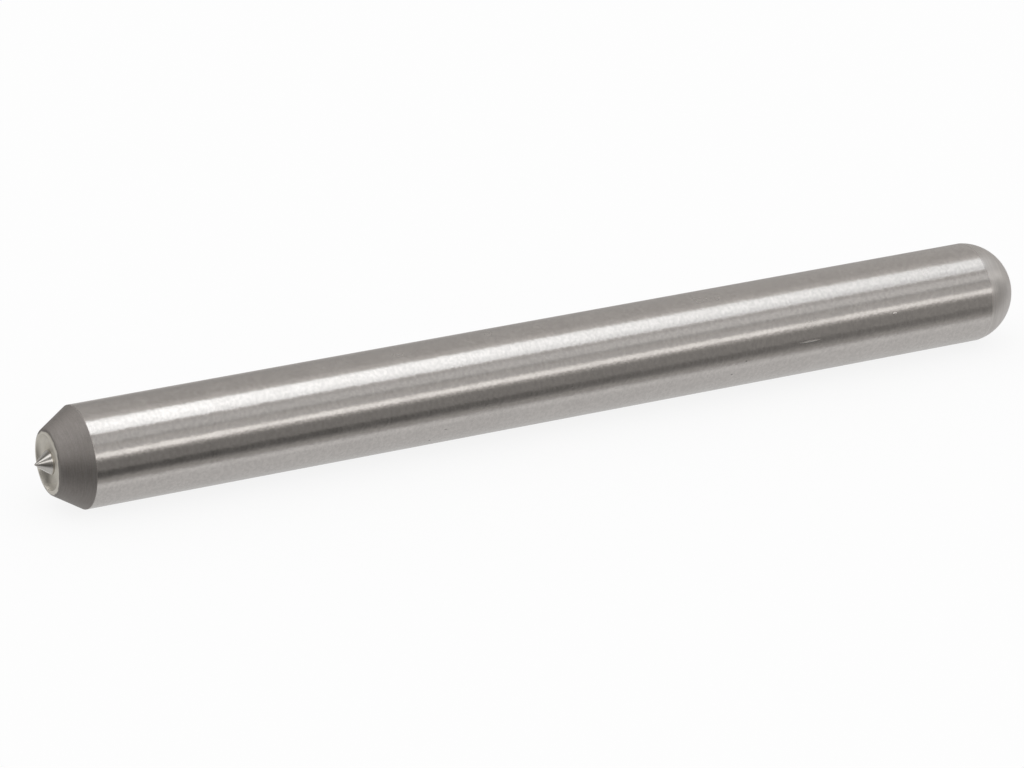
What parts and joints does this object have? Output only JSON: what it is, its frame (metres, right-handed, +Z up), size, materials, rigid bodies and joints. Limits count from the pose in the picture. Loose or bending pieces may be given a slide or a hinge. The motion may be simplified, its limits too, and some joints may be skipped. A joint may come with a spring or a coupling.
{
  "type": "rivet setting punch",
  "caption": "Hand punch that sets tubular rivets: a round ground steel bar with a domed struck end, and a conical nose with an annular cup around a pointed centre spur.",
  "frame": {"origin": "on the surface that the punch lies on, under the middle of its overall length", "axes": "+X along the punch, from the struck end to the point; +Z up from the surface that it lies on"},
  "size_m": [0.135, 0.0126, 0.0127],
  "materials": {
    "ground_steel": "centreless ground, bright, with very fine marks around the bar",
    "dark_matte_steel": "hardened, matte dark grey cone with a lighter satin cup and rim",
    "polished_steel": "polished point"
  },
  "bodies": {
    "root": {"shank": "ground_steel", "setting_die": "dark_matte_steel", "centre_spur": "polished_steel"}
  },
  "joints": []
}
